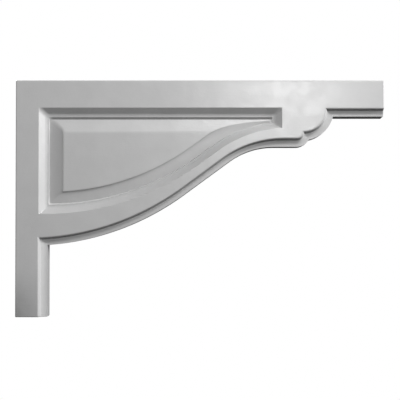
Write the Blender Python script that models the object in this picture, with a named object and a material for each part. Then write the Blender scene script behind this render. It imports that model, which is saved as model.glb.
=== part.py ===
"""A moulded stair bracket: a flat board with a leg, an ogee and an arm, cast in one piece.

The board stands upright on its leg's side. +X runs along the arm, +Z is up and the
decorated face looks along -Y. The plain back lies in the plane y = 0. The origin is on
the back, where the centre line of the leg crosses the centre line of the top rail.
"""

import math

import bmesh
import bpy
import numpy as np
from mathutils import Vector

# Driving sizes in metres. The face is the flat front between the mouldings.
THICKNESS = 0.016
LEG_FACE = 0.0191
RAIL_FACE = 0.0226
ARM_FACE = 0.0234
LEG_TAIL = 0.0652
ARM_TAIL = 0.0478

# The ogee: a wide arc rises from the leg, a straight part joins a smaller arc, and a
# short level land ends in a quarter-round step and the quarter-round nose. The back's
# ogee has its own radii, so that the moulding between them is narrower on the slope.
OGEE_SLOPE = math.radians(36.2)
OGEE_LOW_RADIUS = 0.2166
OGEE_HIGH_RADIUS = 0.0875
OGEE_RISE = 0.08235
BACK_LOW_RADIUS = 0.219
BACK_HIGH_RADIUS = 0.0615
BACK_RISE = 0.082
LAND = 0.0106
STEP_RADIUS = 0.0055
NOSE_RADIUS = 0.01905

# The moulded edge: a hollow from the face, then a slightly drafted side to the back.
EDGE_COVE_WIDTH = 0.0064
EDGE_COVE_DEPTH = 0.0043
EDGE_COVE_STEEP = math.radians(60)
EDGE_COVE_FLAT = math.radians(8)
EDGE_DRAFT = 0.0006

# The recessed panel: the flat bands left round it, and its own lower curve.
END_STILE = 0.0175
BAND_FOOT = 0.01935
BAND_WAIST = 0.007
BAND_TIP = 0.0088
PANEL_LOW_RADIUS = 0.217
PANEL_HIGH_RADIUS = 0.1

# The hollow moulding that leads down into the panel, with a small square step below it.
COVE_WIDTH = 0.0085
COVE_WIDTH_FOOT = 0.0095
COVE_WIDTH_TIP = 0.005
COVE_DEPTH = 0.0044
COVE_STEEP = math.radians(35)
COVE_FLAT = math.radians(8)
COVE_STRAIGHT = 0.4
QUIRK_DEPTH = 0.0009
QUIRK_DRAFT_SIDE = 0.0002
QUIRK_DRAFT_TOP = 0.0007
QUIRK_DRAFT_FOOT = 0.0002
QUIRK_DRAFT_TIP = 0.0003

# The raised field: flat in the middle, with a bevel that climbs to it from the quirk. Each
# bevel has a plain share of the rise, and a power by which the rest steepens at the field.
FIELD_RISE = 0.0032
BEVEL_TOP = 0.0112
BEVEL_SIDE = 0.0112
BEVEL_LOW = 0.0085
BEVEL_SIDE_PLAIN = 0.6
BEVEL_SIDE_POWER = 9.0
BEVEL_LOW_PLAIN = 0.62
BEVEL_LOW_POWER = 6.0

# Facets
LONG_ARC_STEPS = 30
SHORT_ARC_STEPS = 16
STEP_ARC_STEPS = 5
NOSE_ARC_STEPS = 12
EDGE_COVE_STEPS = 6
PANEL_COVE_STEPS = 4
BEVEL_STEPS = 8
PANEL_TOP_STEPS = 14
PANEL_END_STEPS = 2
PANEL_LOW_STEPS = 44
PANEL_SIDE_STEPS = 8
CURVE_SAMPLES = 160

# Places that follow from the sizes
LEFT = -LEG_FACE / 2
LEG_RIGHT = LEG_FACE / 2
TOP = RAIL_FACE / 2
ARM_LOWER = TOP - ARM_FACE
LAND_HEIGHT = ARM_LOWER - NOSE_RADIUS - STEP_RADIUS
FOOT_HEIGHT = LAND_HEIGHT - OGEE_RISE
BOTTOM = FOOT_HEIGHT - LEG_TAIL
EDGE_WIDTH = EDGE_COVE_WIDTH + EDGE_DRAFT
BACK_FOOT_HEIGHT = LAND_HEIGHT - EDGE_WIDTH - BACK_RISE
FACE_Y = -THICKNESS


def rise_normal(slope):
    """The unit vector square to a line that climbs at this slope, pointing up."""
    return np.array([-math.sin(slope), math.cos(slope)])


class Ogee:
    """An arc that starts level, a straight part, and an arc that ends level."""

    def __init__(self, low_centre, low_radius, high_centre, high_radius):
        self.low_centre = np.array(low_centre)
        self.low_radius = low_radius
        self.high_centre = np.array(high_centre)
        self.high_radius = high_radius

    def low_point(self, slope):
        return self.low_centre - rise_normal(slope) * self.low_radius

    def high_point(self, slope):
        return self.high_centre + rise_normal(slope) * self.high_radius


def level_ogee(foot_height, land_height, low_radius, high_radius):
    """An ogee whose lower arc has its lowest point on the leg's centre line."""
    radii = low_radius + high_radius
    rise = land_height - foot_height - radii * (1 - math.cos(OGEE_SLOPE))
    run = radii * math.sin(OGEE_SLOPE) + rise / math.tan(OGEE_SLOPE)
    low_centre = (0.0, foot_height + low_radius)
    return Ogee(low_centre, low_radius, (run, land_height - high_radius), high_radius)


def ogee_at(offset):
    """The moulded edge's ogee at one level, between those of the face and of the back."""
    share = offset / EDGE_WIDTH
    foot_height = FOOT_HEIGHT + (BACK_FOOT_HEIGHT - FOOT_HEIGHT) * share
    low_radius = OGEE_LOW_RADIUS + (BACK_LOW_RADIUS - OGEE_LOW_RADIUS) * share
    high_radius = OGEE_HIGH_RADIUS + (BACK_HIGH_RADIUS - OGEE_HIGH_RADIUS) * share
    return level_ogee(foot_height, LAND_HEIGHT - offset, low_radius, high_radius)


OUTER = ogee_at(0)
STEP_CENTRE = np.array([OUTER.high_centre[0] + LAND, LAND_HEIGHT + STEP_RADIUS])
NOTCH_X = STEP_CENTRE[0] + STEP_RADIUS
NOSE_CENTRE = np.array([NOTCH_X, ARM_LOWER])
RIGHT = NOTCH_X + NOSE_RADIUS + ARM_TAIL
PANEL_LEFT = LEG_RIGHT
PANEL_TOP = TOP - RAIL_FACE
PANEL_RIGHT = NOTCH_X - END_STILE


def circles_meet(centre_a, radius_a, centre_b, radius_b):
    """Where two circles cross, on the right of the way from the first to the second."""
    gap = centre_b - centre_a
    distance = float(np.hypot(*gap))
    along = (distance**2 + radius_a**2 - radius_b**2) / (2 * distance)
    aside = math.sqrt(radius_a**2 - along**2)
    way = gap / distance
    return centre_a + way * along + np.array([way[1], -way[0]]) * aside


def angle_from(centre, point):
    return math.atan2(point[1] - centre[1], point[0] - centre[0])


def arc_points(centre, radius, start, end, steps):
    angles = np.linspace(start, end, steps + 1)
    return [centre + radius * np.array([math.cos(a), math.sin(a)]) for a in angles]


def moulded_path(offset):
    """The edge from the leg's foot to the arm's end, moved outwards by the offset."""
    leg_x = LEG_RIGHT + offset
    ogee = ogee_at(offset)
    start_slope = math.asin(leg_x / ogee.low_radius)
    points = [np.array([leg_x, BOTTOM])]
    for slope in np.linspace(start_slope, OGEE_SLOPE, LONG_ARC_STEPS + 1):
        points.append(ogee.low_point(slope))
    for slope in np.linspace(OGEE_SLOPE, 0, SHORT_ARC_STEPS + 1):
        points.append(ogee.high_point(slope))
    step_radius = STEP_RADIUS + offset
    nose_radius = NOSE_RADIUS + offset
    notch = circles_meet(STEP_CENTRE, step_radius, NOSE_CENTRE, nose_radius)
    step_end = angle_from(STEP_CENTRE, notch)
    points += arc_points(STEP_CENTRE, step_radius, -math.pi / 2, step_end, STEP_ARC_STEPS)
    nose_start = angle_from(NOSE_CENTRE, notch)
    nose_end = -math.asin(offset / nose_radius)
    points += arc_points(NOSE_CENTRE, nose_radius, nose_start, nose_end, NOSE_ARC_STEPS)[1:]
    points.append(np.array([RIGHT, ARM_LOWER - offset]))
    return points


def outline(offset):
    """The whole outline of the board, anticlockwise as the front is looked at."""
    corners_low = [np.array([LEFT, BOTTOM])]
    corners_high = [np.array([RIGHT, TOP]), np.array([LEFT, TOP])]
    return corners_low + moulded_path(offset) + corners_high


def cove(steep, flat, straight, steps):
    """Shares of the width and depth of a hollow, from its steep end to its flat end.

    The straight share of the width keeps the steep slope, and an arc takes the rest.
    """
    rows = [(0.0, 0.0)]
    start = math.tan(steep) * straight
    for slope in np.linspace(steep, flat, steps + 1):
        across = math.sin(steep) - math.sin(slope)
        down = math.cos(slope) - math.cos(steep)
        scale = (1 - straight) / (math.sin(steep) - math.sin(flat))
        rows.append((straight + across * scale, start + down * scale))
    if straight == 0:
        rows = rows[1:]
    return [(across, down / rows[-1][1]) for across, down in rows]


def edge_profile():
    """Offset and depth below the face at each row of the moulded edge."""
    rows = []
    for across, down in cove(EDGE_COVE_STEEP, EDGE_COVE_FLAT, 0, EDGE_COVE_STEPS):
        rows.append((across * EDGE_COVE_WIDTH, down * EDGE_COVE_DEPTH))
    rows.append((EDGE_WIDTH, THICKNESS))
    return rows


def panel_ogee():
    """The panel's lower edge, whose straight part runs along the outer one."""
    square = rise_normal(OGEE_SLOPE)
    line = square @ OUTER.low_point(OGEE_SLOPE) + BAND_WAIST
    low_height = FOOT_HEIGHT + BAND_FOOT + PANEL_LOW_RADIUS
    low_x = (line + PANEL_LOW_RADIUS - square[1] * low_height) / square[0]
    high_height = LAND_HEIGHT + BAND_TIP - PANEL_HIGH_RADIUS
    high_x = (line - PANEL_HIGH_RADIUS - square[1] * high_height) / square[0]
    low_centre = (low_x, low_height)
    high_centre = (high_x, high_height)
    return Ogee(low_centre, PANEL_LOW_RADIUS, high_centre, PANEL_HIGH_RADIUS)


def panel_curve(inset_foot, inset_tip):
    """Points of the panel's lower curve, moved into the panel by a tapering inset."""
    inner = panel_ogee()
    first = math.asin((LEFT - inner.low_centre[0]) / PANEL_LOW_RADIUS)
    last = math.asin((inner.high_centre[0] - NOTCH_X) / PANEL_HIGH_RADIUS)
    points = []
    for slope in np.linspace(first, OGEE_SLOPE, CURVE_SAMPLES):
        points.append((slope, inner.low_point(slope)))
    for slope in np.linspace(OGEE_SLOPE, last, CURVE_SAMPLES):
        points.append((slope, inner.high_point(slope)))
    moved = []
    for slope, point in points:
        share = (point[0] - PANEL_LEFT) / (PANEL_RIGHT - PANEL_LEFT)
        share = min(max(share, 0.0), 1.0)
        inset = inset_foot + (inset_tip - inset_foot) * share
        moved.append(point + rise_normal(slope) * inset)
    return np.array(moved)


def panel_loop(inset_side, inset_top, inset_foot, inset_tip):
    """One level line of the panel, anticlockwise from its top left corner.

    Far up the bevel the top line and the lower curve meet, and the end side shrinks to
    that one point of the ridge.
    """
    curve = panel_curve(inset_foot, inset_tip)
    left = PANEL_LEFT + inset_side
    right = PANEL_RIGHT - inset_side
    top = PANEL_TOP - inset_top
    rising = curve[int(np.argmin(curve[:, 1])) :]
    meets_top = float(np.interp(top, rising[:, 1], rising[:, 0]))
    right = min(right, meets_top)

    def on_curve(x):
        return np.array([x, min(float(np.interp(x, curve[:, 0], curve[:, 1])), top)])

    lower = [on_curve(x) for x in np.linspace(left, right, PANEL_LOW_STEPS + 1)]
    corners = [np.array([left, top]), lower[0], lower[-1], np.array([right, top])]
    side = line_points(corners[0], corners[1], PANEL_SIDE_STEPS)
    end = line_points(corners[2], corners[3], PANEL_END_STEPS)
    upper = line_points(corners[3], corners[0], PANEL_TOP_STEPS)
    return side[:-1] + lower[:-1] + end[:-1] + upper[:-1]


def line_points(start, end, steps):
    return [start + (end - start) * share for share in np.linspace(0, 1, steps + 1)]


def bevel_share(height, plain, power):
    """How far in a bevel has come where it reaches this share of its height."""
    shares = np.linspace(0, 1, CURVE_SAMPLES)
    return float(np.interp(height, plain * shares + (1 - plain) * shares**power, shares))


def panel_rows():
    """The level lines from the face down to the quirk and up the bevel, with depths."""
    rows = []
    for across, down in cove(COVE_STEEP, COVE_FLAT, COVE_STRAIGHT, PANEL_COVE_STEPS):
        width = across * COVE_WIDTH
        foot = across * COVE_WIDTH_FOOT
        tip = across * COVE_WIDTH_TIP
        rows.append((panel_loop(width, width, foot, tip), down * COVE_DEPTH))
    side = COVE_WIDTH + QUIRK_DRAFT_SIDE
    top = COVE_WIDTH + QUIRK_DRAFT_TOP
    foot = COVE_WIDTH_FOOT + QUIRK_DRAFT_FOOT
    tip = COVE_WIDTH_TIP + QUIRK_DRAFT_TIP
    floor = COVE_DEPTH + QUIRK_DEPTH
    for step in range(BEVEL_STEPS + 1):
        height = step / BEVEL_STEPS
        bevel_side = BEVEL_SIDE * bevel_share(height, BEVEL_SIDE_PLAIN, BEVEL_SIDE_POWER)
        bevel_low = BEVEL_LOW * bevel_share(height, BEVEL_LOW_PLAIN, BEVEL_LOW_POWER)
        bevel_top = BEVEL_TOP * height
        loop = panel_loop(side + bevel_side, top + bevel_top, foot + bevel_low, tip + bevel_low)
        rows.append((loop, floor - height * FIELD_RISE))
    return rows


def add_loop(bm, points, depth):
    return [bm.verts.new(Vector((x, FACE_Y + depth, z))) for x, z in points]


def join_loops(bm, first, second):
    """Quads between two closed loops of as many points."""
    for i in range(len(first)):
        j = (i + 1) % len(first)
        bm.faces.new((first[i], first[j], second[j], second[i]))


def loop_edges(bm, loop):
    edges = []
    for i, vert in enumerate(loop):
        following = loop[(i + 1) % len(loop)]
        edges.append(bm.edges.get((vert, following)) or bm.edges.new((vert, following)))
    return edges


def build_bracket_mesh():
    bm = bmesh.new()
    edge_loops = [add_loop(bm, outline(offset), depth) for offset, depth in edge_profile()]
    for first, second in zip(edge_loops, edge_loops[1:]):
        join_loops(bm, first, second)
    bm.faces.new(edge_loops[-1])
    panel_loops = [add_loop(bm, points, depth) for points, depth in panel_rows()]
    for first, second in zip(panel_loops, panel_loops[1:]):
        join_loops(bm, first, second)
    bm.faces.new(panel_loops[-1])
    rim = loop_edges(bm, edge_loops[0]) + loop_edges(bm, panel_loops[0])
    bmesh.ops.triangle_fill(bm, use_beauty=True, edges=rim, normal=Vector((0, -1, 0)))
    bmesh.ops.remove_doubles(bm, verts=bm.verts, dist=1e-6)
    bmesh.ops.dissolve_degenerate(bm, edges=bm.edges, dist=1e-6)
    bmesh.ops.recalc_face_normals(bm, faces=bm.faces)
    mesh = bpy.data.meshes.new("stair_bracket")
    bm.to_mesh(mesh)
    bm.free()
    return mesh


def primed_casting():
    """White primer over the casting, with a low sheen."""
    material = bpy.data.materials.new("primed_casting")
    material.use_nodes = True
    shader = material.node_tree.nodes["Principled BSDF"]
    shader.inputs["Base Color"].default_value = (0.72, 0.72, 0.71, 1)
    shader.inputs["Roughness"].default_value = 0.42
    shader.inputs["Metallic"].default_value = 0.0
    return material


def build_bracket():
    mesh = build_bracket_mesh()
    mesh.shade_smooth()
    mesh.set_sharp_from_angle(angle=math.radians(25))
    mesh.materials.append(primed_casting())
    bracket = bpy.data.objects.new("stair_bracket", mesh)
    bpy.context.scene.collection.objects.link(bracket)
    return bracket


def clear_scene():
    for old in list(bpy.data.objects):
        bpy.data.objects.remove(old, do_unlink=True)


clear_scene()
build_bracket()
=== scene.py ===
"""Stair bracket, dressed: a white-primed casting with soft arrises, seen square from the front."""

import math

import bmesh
import bpy
import numpy as np
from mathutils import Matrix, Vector


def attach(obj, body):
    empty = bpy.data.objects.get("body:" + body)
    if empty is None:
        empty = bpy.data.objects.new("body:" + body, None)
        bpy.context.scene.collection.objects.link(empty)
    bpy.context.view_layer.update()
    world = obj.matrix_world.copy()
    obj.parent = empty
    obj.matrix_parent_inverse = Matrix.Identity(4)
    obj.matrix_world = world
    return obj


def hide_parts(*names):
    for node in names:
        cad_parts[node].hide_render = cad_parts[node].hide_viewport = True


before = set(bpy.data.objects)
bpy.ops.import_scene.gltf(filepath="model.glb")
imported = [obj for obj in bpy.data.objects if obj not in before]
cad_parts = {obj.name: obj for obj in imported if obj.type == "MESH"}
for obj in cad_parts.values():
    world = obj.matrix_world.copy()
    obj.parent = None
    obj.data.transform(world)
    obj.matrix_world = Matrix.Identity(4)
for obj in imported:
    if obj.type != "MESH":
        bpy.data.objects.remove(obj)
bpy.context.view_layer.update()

# The board's sizes in metres, as in the solid that it replaces
THICKNESS = 0.016
LEG_FACE = 0.0191
RAIL_FACE = 0.0226
ARM_FACE = 0.0234
LEG_TAIL = 0.0652
ARM_TAIL = 0.0478
OGEE_SLOPE = math.radians(36.2)
OGEE_LOW_RADIUS = 0.2166
OGEE_HIGH_RADIUS = 0.0875
OGEE_RISE = 0.08235
BACK_LOW_RADIUS = 0.219
BACK_HIGH_RADIUS = 0.0615
BACK_RISE = 0.082
LAND = 0.0106
STEP_RADIUS = 0.0055
NOSE_RADIUS = 0.01905

# The moulded edge: a hollow that starts with a steep step at the face
EDGE_COVE_WIDTH = 0.0068
ARM_COVE_WIDTH = 0.0062
EDGE_STEP_WIDTH = 0.0015
EDGE_STEP_DEPTH = 0.0033
EDGE_COVE_DEPTH = 0.0047
EDGE_COVE_STEEP = math.radians(29)
EDGE_COVE_FLAT = math.radians(4)
EDGE_DRAFT = 0.0002

# The recessed panel: the flat bands left round it, and its own lower curve
END_STILE = 0.0175
BAND_FOOT = 0.01995
BAND_WAIST = 0.007
BAND_TIP = 0.0088
PANEL_LOW_RADIUS = 0.217
PANEL_HIGH_RADIUS = 0.1

# The hollow that leads down into the panel, and the small quirk below it
COVE_WIDTH = 0.0077
COVE_WIDTH_TOP = 0.0074
COVE_WIDTH_FOOT = 0.0077
COVE_WIDTH_TIP = 0.005
COVE_DEPTH = 0.0043
COVE_STEEP = math.radians(35)
COVE_FLAT = math.radians(0)
COVE_STRAIGHT = 0.58
QUIRK_DEPTH = 0.0014
QUIRK_DRAFT_SIDE = 0.0004
QUIRK_DRAFT_TOP = 0.0019
QUIRK_DRAFT_FOOT = 0.0010
QUIRK_DRAFT_TIP = 0.0003

# The raised field, and the bevel that climbs to it on each side
FIELD_RISE = 0.0032
BEVEL_TOP = 0.0108
BEVEL_SIDE = 0.0117
BEVEL_LOW = 0.0098
BEVEL_TOP_BEND = (1.0, 0.0, 1)
BEVEL_SIDE_BEND = (0.41, 0.4, 14)
BEVEL_LOW_BEND = (0.5, 0.1, 8)

# How far each arris is eased by the mould and the primer, and the room kept beside it
FACE_ARRIS = 0.0009
STEP_ARRIS = 0.0005
COVE_LIP = 0.00012
BACK_ARRIS = 0.0003
CORNER_RADIUS = 0.0007
RIM_ARRIS = 0.0003
QUIRK_ARRIS = 0.00018
FIELD_ARRIS = 0.0011
GUARD = 0.0004

# The powers by which the mark of a moulding's inner corner fades away from it
EDGE_HOLLOW_FADE = 4
PANEL_HOLLOW_FADE = 6

# How finely the curves are drawn
LONG_ARC_STEPS = 110
SHORT_ARC_STEPS = 50
STEP_ARC_STEPS = 12
NOSE_ARC_STEPS = 34
CORNER_STEPS = 4
EDGE_COVE_STEPS = 16
PANEL_COVE_STEPS = 12
BEVEL_STEPS = 30
SOFT_STEPS = 4
PANEL_TOP_STEPS = 60
PANEL_END_STEPS = 6
PANEL_LOW_STEPS = 150
PANEL_SIDE_STEPS = 24
CURVE_SAMPLES = 400
WELD = 1e-6

# Places that follow from the sizes
LEFT = -LEG_FACE / 2
LEG_RIGHT = LEG_FACE / 2
TOP = RAIL_FACE / 2
ARM_LOWER = TOP - ARM_FACE
LAND_HEIGHT = ARM_LOWER - NOSE_RADIUS - STEP_RADIUS
FOOT_HEIGHT = LAND_HEIGHT - OGEE_RISE
BOTTOM = FOOT_HEIGHT - LEG_TAIL
EDGE_WIDTH = EDGE_COVE_WIDTH + EDGE_DRAFT
BACK_FOOT_HEIGHT = LAND_HEIGHT - EDGE_WIDTH - BACK_RISE
FACE_Y = -THICKNESS


def rise_normal(slope):
    """The unit vector square to a line that climbs at this slope, pointing up."""
    return np.array([-math.sin(slope), math.cos(slope)])


class Ogee:
    """An arc that starts level, a straight part, and an arc that ends level."""

    def __init__(self, low_centre, low_radius, high_centre, high_radius):
        self.low_centre = np.array(low_centre)
        self.low_radius = low_radius
        self.high_centre = np.array(high_centre)
        self.high_radius = high_radius

    def low_point(self, slope):
        return self.low_centre - rise_normal(slope) * self.low_radius

    def high_point(self, slope):
        return self.high_centre + rise_normal(slope) * self.high_radius


def level_ogee(foot_height, land_height, low_radius, high_radius):
    """An ogee whose lower arc has its lowest point on the leg's centre line."""
    radii = low_radius + high_radius
    rise = land_height - foot_height - radii * (1 - math.cos(OGEE_SLOPE))
    run = radii * math.sin(OGEE_SLOPE) + rise / math.tan(OGEE_SLOPE)
    low_centre = (0.0, foot_height + low_radius)
    return Ogee(low_centre, low_radius, (run, land_height - high_radius), high_radius)


def ogee_at(offset):
    """The moulded edge's ogee at one level, between those of the face and of the back."""
    share = offset / EDGE_WIDTH
    foot_height = FOOT_HEIGHT + (BACK_FOOT_HEIGHT - FOOT_HEIGHT) * share
    low_radius = OGEE_LOW_RADIUS + (BACK_LOW_RADIUS - OGEE_LOW_RADIUS) * share
    high_radius = OGEE_HIGH_RADIUS + (BACK_HIGH_RADIUS - OGEE_HIGH_RADIUS) * share
    return level_ogee(foot_height, LAND_HEIGHT - offset, low_radius, high_radius)


OUTER = ogee_at(0)
STEP_CENTRE = np.array([OUTER.high_centre[0] + LAND, LAND_HEIGHT + STEP_RADIUS])
NOTCH_X = STEP_CENTRE[0] + STEP_RADIUS
NOSE_CENTRE = np.array([NOTCH_X, ARM_LOWER])
RIGHT = NOTCH_X + NOSE_RADIUS + ARM_TAIL
PANEL_LEFT = LEG_RIGHT
PANEL_TOP = TOP - RAIL_FACE
PANEL_RIGHT = NOTCH_X - END_STILE


def circles_meet(centre_a, radius_a, centre_b, radius_b):
    """Where two circles cross, on the right of the way from the first to the second."""
    gap = centre_b - centre_a
    distance = float(np.hypot(*gap))
    along = (distance**2 + radius_a**2 - radius_b**2) / (2 * distance)
    aside = math.sqrt(radius_a**2 - along**2)
    way = gap / distance
    return centre_a + way * along + np.array([way[1], -way[0]]) * aside


def angle_from(centre, point):
    return math.atan2(point[1] - centre[1], point[0] - centre[0])


def arc_points(centre, radius, start, end, steps):
    angles = np.linspace(start, end, steps + 1)
    return [centre + radius * np.array([math.cos(a), math.sin(a)]) for a in angles]


def round_corner(x, z, quarter):
    """The eased corner at (x, z). Quarter 0 is the lower left one, and they go anticlockwise."""
    inward = ((1, 1), (-1, 1), (-1, -1), (1, -1))[quarter]
    centre = np.array([x, z]) + CORNER_RADIUS * np.array(inward)
    start = math.pi + quarter * math.pi / 2
    return arc_points(centre, CORNER_RADIUS, start, start + math.pi / 2, CORNER_STEPS)


def arm_offset(offset):
    """The hollow is a little narrower below the arm, and the side behind it shows there."""
    if offset < 0:
        return offset
    below_ogee = (0, EDGE_COVE_WIDTH, EDGE_WIDTH)
    below_arm = (0, ARM_COVE_WIDTH, EDGE_WIDTH)
    return float(np.interp(offset, below_ogee, below_arm))


def moulded_path(offset):
    """The curved edge between the leg's straight side and the arm's lower side."""
    ogee = ogee_at(offset)
    start_slope = math.asin((LEG_RIGHT + offset) / ogee.low_radius)
    points = []
    for slope in np.linspace(start_slope, OGEE_SLOPE, LONG_ARC_STEPS + 1):
        points.append(ogee.low_point(slope))
    for slope in np.linspace(OGEE_SLOPE, 0, SHORT_ARC_STEPS + 1):
        points.append(ogee.high_point(slope))
    step_radius = STEP_RADIUS + offset
    nose_radius = NOSE_RADIUS + offset
    notch = circles_meet(STEP_CENTRE, step_radius, NOSE_CENTRE, nose_radius)
    step_end = angle_from(STEP_CENTRE, notch)
    points += arc_points(STEP_CENTRE, step_radius, -math.pi / 2, step_end, STEP_ARC_STEPS)
    nose_start = angle_from(NOSE_CENTRE, notch)
    nose_end = -math.asin(arm_offset(offset) / nose_radius)
    points += arc_points(NOSE_CENTRE, nose_radius, nose_start, nose_end, NOSE_ARC_STEPS)[1:]
    return points


def outline(offset, inset):
    """The whole outline, anticlockwise as the front is looked at.

    The moulded edge is moved outwards by the offset and the plain edges inwards by the inset.
    """
    points = round_corner(LEFT + inset, BOTTOM + inset, 0)
    points += round_corner(LEG_RIGHT + offset, BOTTOM + inset, 1)
    points += moulded_path(offset)
    points += round_corner(RIGHT - inset, ARM_LOWER - arm_offset(offset), 1)
    points += round_corner(RIGHT - inset, TOP - inset, 2)
    points += round_corner(LEFT + inset, TOP - inset, 3)
    return points


def cove(steep, flat, straight, steps):
    """Shares of the width and depth of a hollow, from its steep end to its flat end.

    The first part of the width is straight, and the rest is an arc.
    """
    slopes = np.linspace(steep, flat, steps + 1)
    across = (math.sin(steep) - np.sin(slopes)) / (math.sin(steep) - math.sin(flat))
    down = (np.cos(slopes) - math.cos(steep)) / (math.sin(steep) - math.sin(flat))
    curved = 1 - straight
    start = math.tan(steep) * straight
    rows = [(0.0, 0.0)]
    for x, y in zip(across, down):
        rows.append((straight + x * curved, start + y * curved))
    if straight == 0:
        rows = rows[1:]
    return [(x, y / rows[-1][1]) for x, y in rows]


def bevel_share(height, bend):
    """How far in a bevel has come at a share of its height.

    Bend has the straight part of the rise, the hollow part, and the power by which the rest
    steepens at the field.
    """
    plain, hollow, power = bend
    shares = np.linspace(0, 1, CURVE_SAMPLES)
    heights = plain * shares + hollow * shares**2 + (1 - plain - hollow) * shares**power
    return float(np.interp(height, heights, shares))


def soften(rows, corners, plan, depth):
    """Replaces each sharp corner of a profile by a short curve.

    Corners maps a row's number to how far the curve reaches. Plan and depth are the columns
    that lengths are measured in.
    """
    rows = [np.array(row, float) for row in rows]
    shape = np.array([[row[plan], row[depth]] for row in rows])
    lengths = np.concatenate([[0], np.cumsum(np.hypot(*np.diff(shape, axis=0).T))])
    stack = np.array(rows)

    def at(length):
        return np.array([np.interp(length, lengths, column) for column in stack.T])

    softened = []
    for number, row in enumerate(rows):
        near = [c for c, reach in corners.items() if abs(lengths[number] - lengths[c]) < reach]
        if not near:
            softened.append(row)
        elif number in corners:
            reach = corners[number]
            before = at(lengths[number] - reach)
            after = at(lengths[number] + reach)
            for share in np.linspace(0, 1, SOFT_STEPS + 1):
                low = before + (row - before) * share
                high = row + (after - row) * share
                softened.append(low + (high - low) * share)
    return softened


def edge_profile():
    """Rows of the moulded edge: offset, inset of the plain edges, depth and hollow."""
    face = [(-FACE_ARRIS - GUARD, FACE_ARRIS + GUARD, 0, 0), (0, 0, 0, 0)]
    hollow = []
    cove_width = EDGE_COVE_WIDTH - EDGE_STEP_WIDTH
    cove_depth = EDGE_COVE_DEPTH - EDGE_STEP_DEPTH
    for across, down in cove(EDGE_COVE_STEEP, EDGE_COVE_FLAT, 0, EDGE_COVE_STEPS):
        offset = EDGE_STEP_WIDTH + across * cove_width
        depth = EDGE_STEP_DEPTH + down * cove_depth
        hollow.append((offset, 0, depth, (1 - across) ** EDGE_HOLLOW_FADE))
    lip = len(face) + len(hollow) - 1
    step = len(face)
    back = [(EDGE_WIDTH, 0, THICKNESS, 0)]
    back.append((EDGE_WIDTH - GUARD - BACK_ARRIS, BACK_ARRIS + GUARD, THICKNESS, 0))
    rows = face + hollow + back
    corners = {1: FACE_ARRIS, step: STEP_ARRIS, lip: COVE_LIP, lip + 1: BACK_ARRIS}
    return soften(rows, corners, plan=0, depth=2)


def panel_ogee():
    """The panel's lower edge, whose straight part runs along the outer one."""
    square = rise_normal(OGEE_SLOPE)
    line = square @ OUTER.low_point(OGEE_SLOPE) + BAND_WAIST
    low_height = FOOT_HEIGHT + BAND_FOOT + PANEL_LOW_RADIUS
    low_x = (line + PANEL_LOW_RADIUS - square[1] * low_height) / square[0]
    high_height = LAND_HEIGHT + BAND_TIP - PANEL_HIGH_RADIUS
    high_x = (line - PANEL_HIGH_RADIUS - square[1] * high_height) / square[0]
    low_centre = (low_x, low_height)
    high_centre = (high_x, high_height)
    return Ogee(low_centre, PANEL_LOW_RADIUS, high_centre, PANEL_HIGH_RADIUS)


def panel_curve(inset_foot, inset_tip):
    """Points of the panel's lower curve, moved into the panel by a tapering inset."""
    inner = panel_ogee()
    first = math.asin((LEFT - inner.low_centre[0]) / PANEL_LOW_RADIUS)
    last = math.asin((inner.high_centre[0] - NOTCH_X) / PANEL_HIGH_RADIUS)
    points = []
    for slope in np.linspace(first, OGEE_SLOPE, CURVE_SAMPLES):
        points.append((slope, inner.low_point(slope)))
    for slope in np.linspace(OGEE_SLOPE, last, CURVE_SAMPLES):
        points.append((slope, inner.high_point(slope)))
    moved = []
    for slope, point in points:
        share = (point[0] - PANEL_LEFT) / (PANEL_RIGHT - PANEL_LEFT)
        share = min(max(share, 0.0), 1.0)
        inset = inset_foot + (inset_tip - inset_foot) * share
        moved.append(point + rise_normal(slope) * inset)
    return np.array(moved)


def line_points(start, end, steps):
    return [start + (end - start) * share for share in np.linspace(0, 1, steps + 1)]


def panel_loop(inset_side, inset_top, inset_foot, inset_tip):
    """One level line of the panel, anticlockwise from its top left corner."""
    curve = panel_curve(inset_foot, inset_tip)
    left = PANEL_LEFT + inset_side
    top = PANEL_TOP - inset_top
    rising = curve[int(np.argmin(curve[:, 1])) :]
    meets_top = float(np.interp(top, rising[:, 1], rising[:, 0]))
    right = min(PANEL_RIGHT - inset_side, meets_top)

    def on_curve(x):
        return np.array([x, min(float(np.interp(x, curve[:, 0], curve[:, 1])), top)])

    lower = [on_curve(x) for x in np.linspace(left, right, PANEL_LOW_STEPS + 1)]
    corners = [np.array([left, top]), lower[0], lower[-1], np.array([right, top])]
    side = line_points(corners[0], corners[1], PANEL_SIDE_STEPS)
    end = line_points(corners[2], corners[3], PANEL_END_STEPS)
    upper = line_points(corners[3], corners[0], PANEL_TOP_STEPS)
    return side[:-1] + lower[:-1] + end[:-1] + upper[:-1]


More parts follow.
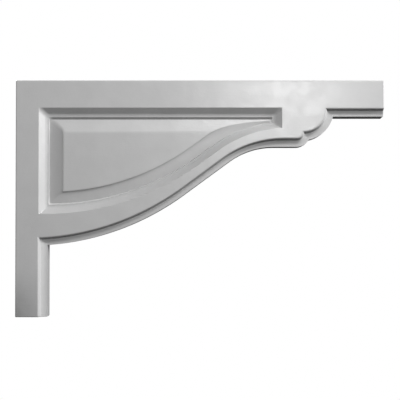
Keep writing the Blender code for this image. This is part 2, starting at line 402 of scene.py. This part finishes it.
def panel_profile():
    """Rows of the panel: insets at the side, top, foot and tip, depth and hollow."""
    lead = RIM_ARRIS + GUARD
    cove_widths = (COVE_WIDTH, COVE_WIDTH_TOP, COVE_WIDTH_FOOT, COVE_WIDTH_TIP)
    rows = [(-lead, -lead, -lead, -lead, 0, 0)]
    for across, down in cove(COVE_STEEP, COVE_FLAT, COVE_STRAIGHT, PANEL_COVE_STEPS):
        insets = [across * width for width in cove_widths]
        rows.append((*insets, down * COVE_DEPTH, down**PANEL_HOLLOW_FADE))
    quirk = len(rows) - 1
    start = [
        COVE_WIDTH + QUIRK_DRAFT_SIDE,
        COVE_WIDTH_TOP + QUIRK_DRAFT_TOP,
        COVE_WIDTH_FOOT + QUIRK_DRAFT_FOOT,
        COVE_WIDTH_TIP + QUIRK_DRAFT_TIP,
    ]
    floor = COVE_DEPTH + QUIRK_DEPTH
    for step in range(BEVEL_STEPS + 1):
        height = step / BEVEL_STEPS
        side = BEVEL_SIDE * bevel_share(height, BEVEL_SIDE_BEND)
        top = BEVEL_TOP * bevel_share(height, BEVEL_TOP_BEND)
        low = BEVEL_LOW * bevel_share(height, BEVEL_LOW_BEND)
        insets = [start[0] + side, start[1] + top, start[2] + low, start[3] + low]
        depth = floor - height * FIELD_RISE
        rows.append((*insets, depth, (1 - height) ** PANEL_HOLLOW_FADE))
    field = len(rows) - 1
    inner = [inset + FIELD_ARRIS + GUARD for inset in rows[-1][:4]]
    rows.append((*inner, floor - FIELD_RISE, 0))
    corners = {1: RIM_ARRIS, quirk: QUIRK_ARRIS, quirk + 1: QUIRK_ARRIS, field: FIELD_ARRIS}
    return soften(rows, corners, plan=1, depth=4)


def add_loop(bm, shade_layer, points, depth, shade):
    verts = [bm.verts.new(Vector((x, FACE_Y + depth, z))) for x, z in points]
    for vert in verts:
        vert[shade_layer] = shade
    return verts


def join_loops(bm, first, second):
    """Quads between two closed loops of as many points."""
    for i in range(len(first)):
        j = (i + 1) % len(first)
        bm.faces.new((first[i], first[j], second[j], second[i]))


def loop_edges(bm, loop):
    edges = []
    for i, vert in enumerate(loop):
        following = loop[(i + 1) % len(loop)]
        edges.append(bm.edges.get((vert, following)) or bm.edges.new((vert, following)))
    return edges


def build_bracket():
    bm = bmesh.new()
    shade = bm.verts.layers.float.new("hollow")
    edge_loops = []
    for offset, inset, depth, hollow in edge_profile():
        edge_loops.append(add_loop(bm, shade, outline(offset, inset), depth, hollow))
    panel_loops = []
    for side, top, foot, tip, depth, hollow in panel_profile():
        points = panel_loop(side, top, foot, tip)
        panel_loops.append(add_loop(bm, shade, points, depth, hollow))
    for loops in (edge_loops, panel_loops):
        for first, second in zip(loops, loops[1:]):
            join_loops(bm, first, second)
        bm.faces.new(loops[-1])
    rim = loop_edges(bm, edge_loops[0]) + loop_edges(bm, panel_loops[0])
    bmesh.ops.triangle_fill(bm, use_beauty=True, edges=rim, normal=Vector((0, -1, 0)))
    bmesh.ops.remove_doubles(bm, verts=bm.verts, dist=WELD)
    bmesh.ops.dissolve_degenerate(bm, edges=bm.edges, dist=WELD)
    bmesh.ops.recalc_face_normals(bm, faces=bm.faces)
    mesh = bpy.data.meshes.new("bracket_casting")
    bm.to_mesh(mesh)
    bm.free()
    mesh.shade_smooth()
    bracket = bpy.data.objects.new("bracket_casting", mesh)
    bpy.context.scene.collection.objects.link(bracket)
    weighted = bracket.modifiers.new("weighted_normals", "WEIGHTED_NORMAL")
    weighted.mode = "FACE_AREA"
    return bracket


# Shared surface effects

# Where the painted shade towards the foot and the left edge lies, and how cloudy it is
GRIME_TOP = BOTTOM + 0.045
GRIME_EDGE = EDGE_WIDTH / 4
GRIME_RIGHT_SHARE = 0.5
GRIME_CLOUD_SCALE = 120
GRIME_CLOUD_LEAST = 0.75
GRIME_CLOUD_SPREAD = 0.5
CLOUD_RAMP = (0.35, 0.68)
RIPPLE_SHARE = 0.12
DRAG_SCALE = 900
DRAG_STRETCH = (0.08, 0.4, 1)
PATCH_SCALE = 720
PATCH_STRETCH = (0.55, 1, 1)
PATCH_RAMP = (0.46, 0.7)
SHEEN_SCALE = 70
SHEEN_RAMP = (0.35, 0.65)
SHEEN_MIDDLE = 0.5
# How the painted shade in the inner corners is broken up
DUST_SCALE = 340
DUST_RAMP = (0.2, 0.6)
# Where and how unevenly the undersides get painted shade
UNDERSIDE_RAMP = (0.35, 0.95)
SPECKLE_SCALE = 500
SPECKLE_LEAST = 0.8
SPECKLE_SPREAD = 0.4
# Where the arrises get painted shade, and how it is broken up
ARRIS_RAMP = (0.52, 0.6)
WEAR_SCALE = 260
WEAR_RAMP = (0.4, 0.65)

# How broken up a noise is
SMOOTH = 2
BROKEN = 3
ROUGH = 4

# Where the mix node keeps its factor and its two colours, and its colour result
MIX_INPUTS = (0, 6, 7)
MIX_RESULT = 2


class Graph:
    """Short ways to add and link the nodes of one tree."""

    def __init__(self, tree):
        self.tree = tree

    def put(self, socket, value):
        if isinstance(value, bpy.types.NodeSocket):
            self.tree.links.new(value, socket)
        else:
            socket.default_value = value

    def math(self, operation, first, second, clamp=False):
        node = self.tree.nodes.new("ShaderNodeMath")
        node.operation = operation
        node.use_clamp = clamp
        self.put(node.inputs[0], first)
        self.put(node.inputs[1], second)
        return node.outputs[0]

    def product(self, *factors):
        result = factors[0]
        for factor in factors[1:]:
            result = self.math("MULTIPLY", result, factor)
        return result

    def mix(self, share, first, second):
        node = self.tree.nodes.new("ShaderNodeMix")
        node.data_type = "RGBA"
        for number, value in zip(MIX_INPUTS, (share, first, second)):
            self.put(node.inputs[number], value)
        return node.outputs[MIX_RESULT]

    def place(self, stretch=(1, 1, 1)):
        """Object coordinates in metres, squeezed along each axis."""
        coordinates = self.tree.nodes.new("ShaderNodeTexCoord")
        mapping = self.tree.nodes.new("ShaderNodeMapping")
        mapping.inputs["Scale"].default_value = stretch
        self.tree.links.new(coordinates.outputs["Object"], mapping.inputs["Vector"])
        return mapping.outputs["Vector"]

    def noise(self, scale, detail, stretch=(1, 1, 1)):
        node = self.tree.nodes.new("ShaderNodeTexNoise")
        node.inputs["Detail"].default_value = detail
        self.put(node.inputs["Scale"], scale)
        self.put(node.inputs["Vector"], self.place(stretch))
        return node.outputs["Fac"]

    def ramp(self, value, low, high):
        """The share of the way from low to high, eased at both ends."""
        node = self.tree.nodes.new("ShaderNodeMapRange")
        node.interpolation_type = "SMOOTHSTEP"
        for socket, number in zip(node.inputs[:3], (value, low, high)):
            self.put(socket, number)
        return node.outputs["Result"]

    def hollow(self):
        """How near the surface is to a moulding's inner corner, as marked on the mesh; the painted
        shade in the corners follows it.
        """
        node = self.tree.nodes.new("ShaderNodeAttribute")
        node.attribute_name = "hollow"
        return node.outputs["Fac"]

    def axis(self, vector, name):
        """One number of a vector."""
        node = self.tree.nodes.new("ShaderNodeSeparateXYZ")
        self.put(node.inputs["Vector"], vector)
        return node.outputs[name]

    def shape(self, name):
        """What the geometry node says of the surface."""
        return self.tree.nodes.new("ShaderNodeNewGeometry").outputs[name]

    def group(self, tree, **values):
        node = self.tree.nodes.new("ShaderNodeGroup")
        node.node_tree = tree
        for name, value in values.items():
            self.put(node.inputs[name], value)
        return node


def new_group(name, inputs, outputs):
    """A node group whose sockets are colours or numbers, with its graph and its two ends."""
    kinds = {"colour": "NodeSocketColor", "number": "NodeSocketFloat"}
    tree = bpy.data.node_groups.new(name, "ShaderNodeTree")
    for side, sockets in (("INPUT", inputs), ("OUTPUT", outputs)):
        for label, kind in sockets.items():
            tree.interface.new_socket(label, in_out=side, socket_type=kinds[kind])
    start = tree.nodes.new("NodeGroupInput").outputs
    end = tree.nodes.new("NodeGroupOutput").inputs
    return tree, Graph(tree), start, end


def make_mottle():
    """Cloudy changes between two colours."""
    inputs = {"Colour": "colour", "Shade": "colour", "Scale": "number", "Amount": "number"}
    tree, graph, start, end = new_group("soft_mottle", inputs, {"Colour": "colour"})
    cloud = graph.ramp(graph.noise(start["Scale"], BROKEN), *CLOUD_RAMP)
    share = graph.product(cloud, start["Amount"])
    graph.put(end["Colour"], graph.mix(share, start["Colour"], start["Shade"]))
    return tree


def make_relief():
    """The height of a sprayed skin: fine grain, a wider ripple and level drag marks."""
    inputs = {"Grain Scale": "number", "Grain": "number", "Ripple": "number", "Drag": "number"}
    tree, graph, start, end = new_group("primer_relief", inputs, {"Height": "number"})
    grain = graph.product(graph.noise(start["Grain Scale"], SMOOTH), start["Grain"])
    ripple_scale = graph.product(start["Grain Scale"], RIPPLE_SHARE)
    ripple = graph.product(graph.noise(ripple_scale, SMOOTH), start["Ripple"])
    drag = graph.product(graph.noise(DRAG_SCALE, BROKEN, DRAG_STRETCH), start["Drag"])
    graph.put(end["Height"], graph.math("ADD", graph.math("ADD", grain, ripple), drag))
    return tree


def make_sheen():
    """Level patches where the skin is glossier, and the roughness that goes with them."""
    inputs = {"Roughness": "number", "Spread": "number", "Gloss": "number"}
    outputs = {"Roughness": "number", "Coat": "number"}
    tree, graph, start, end = new_group("sheen_patches", inputs, outputs)
    patch = graph.ramp(graph.noise(PATCH_SCALE, BROKEN, PATCH_STRETCH), *PATCH_RAMP)
    cloud = graph.ramp(graph.noise(SHEEN_SCALE, SMOOTH), *SHEEN_RAMP)
    change = graph.product(graph.math("SUBTRACT", cloud, SHEEN_MIDDLE), start["Spread"])
    graph.put(end["Roughness"], graph.math("ADD", start["Roughness"], change))
    graph.put(end["Coat"], graph.product(patch, start["Gloss"]))
    return tree


def make_dust():
    """Painted shade in the inner corners of the mouldings, broken up by grain."""
    inputs = {"Colour": "colour", "Dust": "colour", "Amount": "number"}
    tree, graph, start, end = new_group("settled_dust", inputs, {"Colour": "colour"})
    grain = graph.ramp(graph.noise(DUST_SCALE, ROUGH), *DUST_RAMP)
    mask = graph.product(graph.hollow(), grain, start["Amount"])
    graph.put(end["Colour"], graph.mix(mask, start["Colour"], start["Dust"]))
    return tree


def make_thin_coat():
    """Painted shade: steep undersides are darkened, most in their inner corners, broken up by
    specks.
    """
    inputs = {"Colour": "colour", "Thin": "colour", "Amount": "number", "Corners": "number"}
    tree, graph, start, end = new_group("thin_coat", inputs, {"Colour": "colour"})
    facing_down = graph.product(graph.axis(graph.shape("Normal"), "Z"), -1.0)
    under = graph.ramp(facing_down, *UNDERSIDE_RAMP)
    specks = graph.product(graph.noise(SPECKLE_SCALE, SMOOTH), SPECKLE_SPREAD)
    speckle = graph.math("ADD", specks, SPECKLE_LEAST)
    extra = graph.product(graph.hollow(), start["Corners"])
    amount = graph.math("ADD", start["Amount"], extra)
    mask = graph.math("MULTIPLY", graph.product(under, speckle), amount, clamp=True)
    graph.put(end["Colour"], graph.mix(mask, start["Colour"], start["Thin"]))
    return tree


def make_worn_arris():
    """Painted shade on the arrises, found by how sharply the surface turns and broken up by noise.
    """
    inputs = {"Colour": "colour", "Rubbed": "colour", "Amount": "number"}
    tree, graph, start, end = new_group("worn_arris", inputs, {"Colour": "colour"})
    sharp = graph.ramp(graph.shape("Pointiness"), *ARRIS_RAMP)
    broken = graph.ramp(graph.noise(WEAR_SCALE, BROKEN), *WEAR_RAMP)
    mask = graph.product(sharp, broken, start["Amount"])
    graph.put(end["Colour"], graph.mix(mask, start["Colour"], start["Rubbed"]))
    return tree


def make_foot_grime():
    """Painted shade that darkens the face towards the cut foot and the plain left edge, in clouds.
    """
    inputs = {"Colour": "colour", "Grime": "colour", "Amount": "number"}
    tree, graph, start, end = new_group("foot_grime", inputs, {"Colour": "colour"})
    x = graph.axis(graph.place(), "X")
    low = graph.ramp(graph.axis(graph.place(), "Z"), GRIME_TOP, BOTTOM)
    leftness = graph.product(graph.ramp(x, LEG_RIGHT, LEFT), 1 - GRIME_RIGHT_SHARE)
    aside = graph.math("ADD", leftness, GRIME_RIGHT_SHARE)
    clouds = graph.product(graph.noise(GRIME_CLOUD_SCALE, ROUGH), GRIME_CLOUD_SPREAD)
    cloud = graph.math("ADD", clouds, GRIME_CLOUD_LEAST)
    on_face = graph.ramp(x, LEG_RIGHT + GRIME_EDGE, LEG_RIGHT - GRIME_EDGE)
    spots = graph.product(low, aside, cloud, on_face)
    mask = graph.math("MULTIPLY", spots, start["Amount"], clamp=True)
    graph.put(end["Colour"], graph.mix(mask, start["Colour"], start["Grime"]))
    return tree


MOTTLE = make_mottle()
FOOT_GRIME = make_foot_grime()
RELIEF = make_relief()
SHEEN = make_sheen()
DUST = make_dust()
THIN_COAT = make_thin_coat()
WORN_ARRIS = make_worn_arris()


# Materials

PRIMER_RELIEF = 0.0001
BACK_RELIEF = 0.0002


def grey(value):
    return (value, value, value, 1)


def new_material(name):
    material = bpy.data.materials.new(name)
    material.use_nodes = True
    return material, Graph(material.node_tree), material.node_tree.nodes["Principled BSDF"]


def add_bump(graph, shader, relief, distance):
    bump = graph.tree.nodes.new("ShaderNodeBump")
    bump.inputs["Distance"].default_value = distance
    graph.put(bump.inputs["Height"], relief.outputs["Height"])
    graph.put(shader.inputs["Normal"], bump.outputs["Normal"])


def primer():
    """Sprayed white primer: cloudy, faintly grained, with glossier patches."""
    material, graph, shader = new_material("white_primer")
    cloud = graph.group(MOTTLE, Colour=grey(0.728), Shade=grey(0.705), Scale=55, Amount=1)
    # Painted shade on the sharp arrises.
    rubbed = graph.group(WORN_ARRIS, Colour=cloud.outputs[0], Rubbed=grey(0.66), Amount=0.6)
    # Painted shade on the steep undersides and, more strongly, in the moulding's inner corners.
    thin = graph.group(
        THIN_COAT, Colour=rubbed.outputs[0], Thin=grey(0.03), Amount=0.65, Corners=0.35
    )
    # Faint painted shade in the moulding's inner corners.
    dusty = graph.group(DUST, Colour=thin.outputs["Colour"], Dust=grey(0.4), Amount=0.14)
    # Painted shade that thickens towards the foot and the left edge.
    grimy = graph.group(FOOT_GRIME, Colour=dusty.outputs["Colour"], Grime=grey(0.4), Amount=0.85)
    graph.put(shader.inputs["Base Color"], grimy.outputs["Colour"])
    sheen = graph.group(SHEEN, Roughness=0.3, Spread=0.05, Gloss=0.18)
    graph.put(shader.inputs["Roughness"], sheen.outputs["Roughness"])
    graph.put(shader.inputs["Coat Weight"], sheen.outputs["Coat"])
    shader.inputs["Coat Roughness"].default_value = 0.17
    shader.inputs["Specular IOR Level"].default_value = 0.9
    relief = graph.group(RELIEF, **{"Grain Scale": 900, "Grain": 0.35, "Ripple": 1.0, "Drag": 0.25})
    add_bump(graph, shader, relief, PRIMER_RELIEF)
    return material


def bare_back():
    """The flat back, as it came from the mould: duller, and dragged along its length."""
    material, graph, shader = new_material("bare_back")
    cloud = graph.group(MOTTLE, Colour=grey(0.7), Shade=(0.66, 0.655, 0.645, 1), Scale=38, Amount=1)
    # Here the painted arris shade is plain grey, no darker than the back's own colour.
    rubbed = graph.group(WORN_ARRIS, Colour=cloud.outputs[0], Rubbed=grey(0.7), Amount=0.8)
    graph.put(shader.inputs["Base Color"], rubbed.outputs[0])
    sheen = graph.group(SHEEN, Roughness=0.58, Spread=0.12, Gloss=0.0)
    graph.put(shader.inputs["Roughness"], sheen.outputs["Roughness"])
    relief = graph.group(RELIEF, **{"Grain Scale": 700, "Grain": 0.6, "Ripple": 1.4, "Drag": 0.7})
    add_bump(graph, shader, relief, BACK_RELIEF)
    return material


# The piece

BACKWARD = 0.9
BACK_SLOT = 1

bracket = build_bracket()
bracket.data.materials.append(primer())
bracket.data.materials.append(bare_back())
for face in bracket.data.polygons:
    if face.normal.y > BACKWARD:
        face.material_index = BACK_SLOT
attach(bracket, "root")
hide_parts("stair_bracket")


# Studio

CENTRE = Vector((0.14, FACE_Y, -0.05))
NOSE = Vector((0.26, FACE_Y, 0))

# Each light's name, place, target, size in metres and power in watts
LIGHTS = (
    ("key", (1.881, -0.441, 0.437), CENTRE, 0.6, 23.0),
    ("side", (2.0, -0.12, -0.05), CENTRE, 0.4, 1.5),
    ("top_fill", (0.6, -1.4, 1.5), CENTRE, 0.4, 15.4),
    ("near_top", (0.297, -0.763, 0.739), CENTRE, 0.15, 1.1),
    ("gloss", (0.27, -0.652, 0.085), NOSE, 0.15, 0.74),
    ("low_gloss", (0.32, -0.6, -0.12), NOSE, 0.1, 0.12),
    ("back_fill", (-0.9, 1.3, 0.8), CENTRE, 0.8, 42),
)
WHITE = (1, 1, 1, 1)
SEEN_STRENGTH = 1.0
FILL_STRENGTH = 0.03

FLOOR_SIDE = 1.2
FLOOR_DROP = 1.3
FLOOR_COLOUR = (0.8, 0.8, 0.8, 1)
FLOOR_ROUGHNESS = 0.8

VIEW_DISTANCE = 0.83
CAMERA_PLACE = (0.1427, FACE_Y - VIEW_DISTANCE, -0.1046)
CAMERA_TILT = math.radians(1.169)
SENSOR_MM = 36
LENS_MM = 90.6


def add_world():
    """White to the camera, and only a faint fill to everything else."""
    world = bpy.data.worlds.new("studio")
    bpy.context.scene.world = world
    world.use_nodes = True
    nodes = world.node_tree.nodes
    links = world.node_tree.links
    fill = nodes["Background"]
    fill.inputs["Color"].default_value = WHITE
    fill.inputs["Strength"].default_value = FILL_STRENGTH
    seen = nodes.new("ShaderNodeBackground")
    seen.inputs["Color"].default_value = WHITE
    seen.inputs["Strength"].default_value = SEEN_STRENGTH
    path = nodes.new("ShaderNodeLightPath")
    mix = nodes.new("ShaderNodeMixShader")
    links.new(path.outputs["Is Camera Ray"], mix.inputs["Fac"])
    links.new(fill.outputs["Background"], mix.inputs[1])
    links.new(seen.outputs["Background"], mix.inputs[2])
    links.new(mix.outputs["Shader"], nodes["World Output"].inputs["Surface"])


def add_area_light(name, place, target, size, power):
    data = bpy.data.lights.new(name, "AREA")
    data.shape = "DISK"
    data.size = size
    data.energy = power
    light = bpy.data.objects.new(name, data)
    light.location = place
    way = target - Vector(place)
    light.rotation_euler = way.to_track_quat("-Z", "Y").to_euler()
    bpy.context.scene.collection.objects.link(light)


def add_floor():
    """A plain pale floor below the bracket, out of the camera's frame."""
    bm = bmesh.new()
    bmesh.ops.create_grid(bm, x_segments=1, y_segments=1, size=FLOOR_SIDE / 2)
    bmesh.ops.translate(bm, verts=bm.verts, vec=(CENTRE.x, 0, BOTTOM - FLOOR_DROP))
    mesh = bpy.data.meshes.new("floor")
    bm.to_mesh(mesh)
    bm.free()
    floor = bpy.data.objects.new("floor", mesh)
    bpy.context.scene.collection.objects.link(floor)
    material = bpy.data.materials.new("pale_floor")
    material.use_nodes = True
    shader = material.node_tree.nodes["Principled BSDF"]
    shader.inputs["Base Color"].default_value = FLOOR_COLOUR
    shader.inputs["Roughness"].default_value = FLOOR_ROUGHNESS
    mesh.materials.append(material)


def add_camera():
    data = bpy.data.cameras.new("camera")
    data.sensor_width = SENSOR_MM
    data.lens = LENS_MM
    camera = bpy.data.objects.new("camera", data)
    camera.location = CAMERA_PLACE
    camera.rotation_euler = (math.pi / 2 + CAMERA_TILT, 0, 0)
    bpy.context.scene.collection.objects.link(camera)
    bpy.context.scene.camera = camera


add_world()
for light in LIGHTS:
    add_area_light(*light)
add_floor()
add_camera()
bpy.context.scene.view_settings.view_transform = "Standard"
